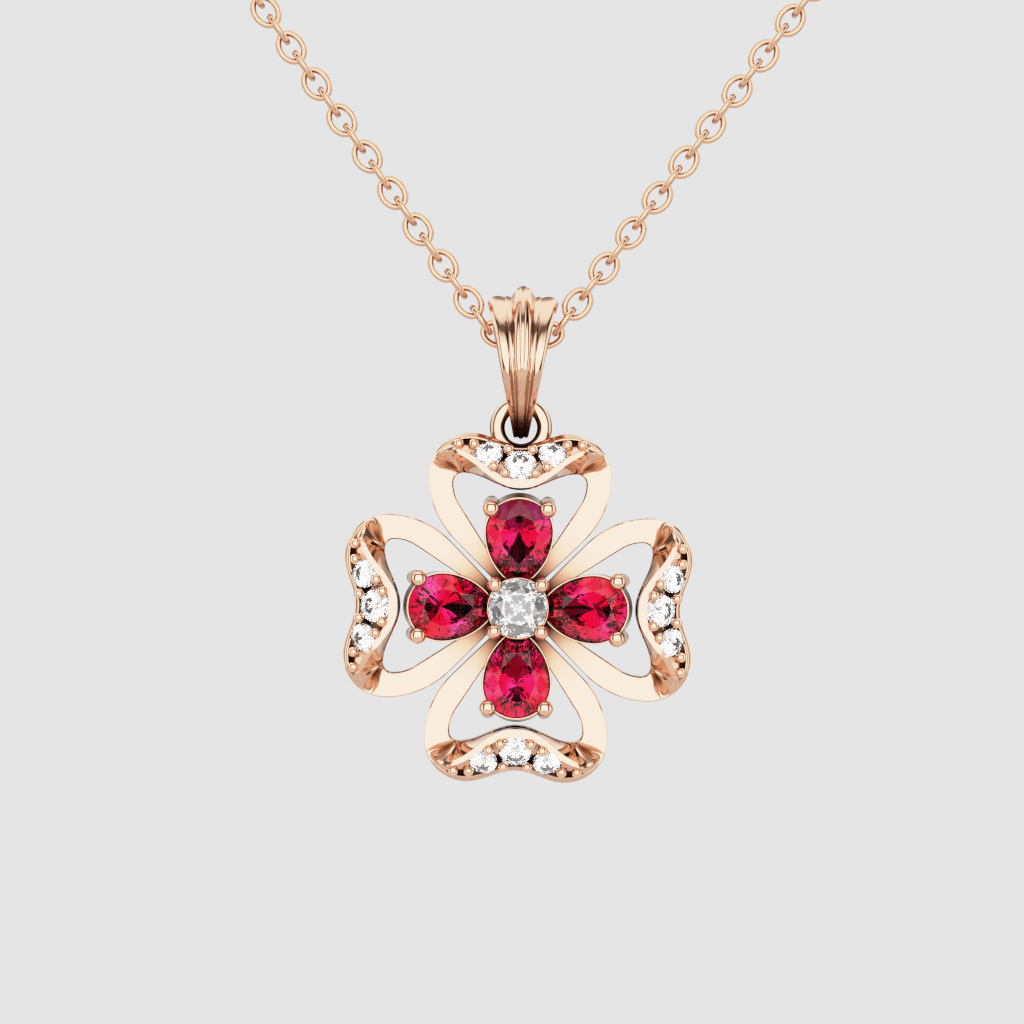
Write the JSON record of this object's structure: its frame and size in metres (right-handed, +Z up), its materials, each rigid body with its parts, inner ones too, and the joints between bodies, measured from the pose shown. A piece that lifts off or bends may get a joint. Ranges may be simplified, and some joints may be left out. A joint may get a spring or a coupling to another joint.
{
  "type": "four leaf clover pendant necklace",
  "caption": "Four leaf clover pendant in rose gold with pear-cut rubies and small round diamonds, hanging from a fluted bail on a fine cable chain.",
  "frame": {"origin": "centre of the chain's round back arc, where it lies round the neck", "axes": "+X to the viewer's right across the necklace, +Y to the back of the neck, +Z up; the pendant hangs below at the front and faces -Y"},
  "size_m": [0.1274, 0.0786, 0.107],
  "materials": {
    "rose_gold": "polished",
    "chain_gold": "polished",
    "ruby": "faceted and polished",
    "diamond": "faceted and polished"
  },
  "bodies": {
    "necklace": {"chain": "chain_gold", "clasp": "chain_gold"},
    "bail": {"bail": "rose_gold"},
    "clover": {"clover_frame": "rose_gold", "centre_diamond": "diamond", "ruby_top": "ruby", "ruby_right": "ruby", "ruby_bottom": "ruby", "ruby_left": "ruby", "accent_top_left": "diamond", "accent_top_mid": "diamond", "accent_top_right": "diamond", "accent_right_left": "diamond", "accent_right_mid": "diamond", "accent_right_right": "diamond", "accent_bottom_left": "diamond", "accent_bottom_mid": "diamond", "accent_bottom_right": "diamond", "accent_left_left": "diamond", "accent_left_mid": "diamond", "accent_left_right": "diamond"}
  },
  "joints": [
    {"name": "bail_swing", "type": "hinge", "parent": "necklace", "child": "bail", "pos_m": [0, -0.012, -0.08503], "axis": [1, 0, 0], "range_deg": [-90, 90]},
    {"name": "clover_swing", "type": "hinge", "parent": "bail", "child": "clover", "pos_m": [0, -0.012, -0.08823], "axis": [1, 0, 0], "range_deg": [-75, 75]}
  ]
}
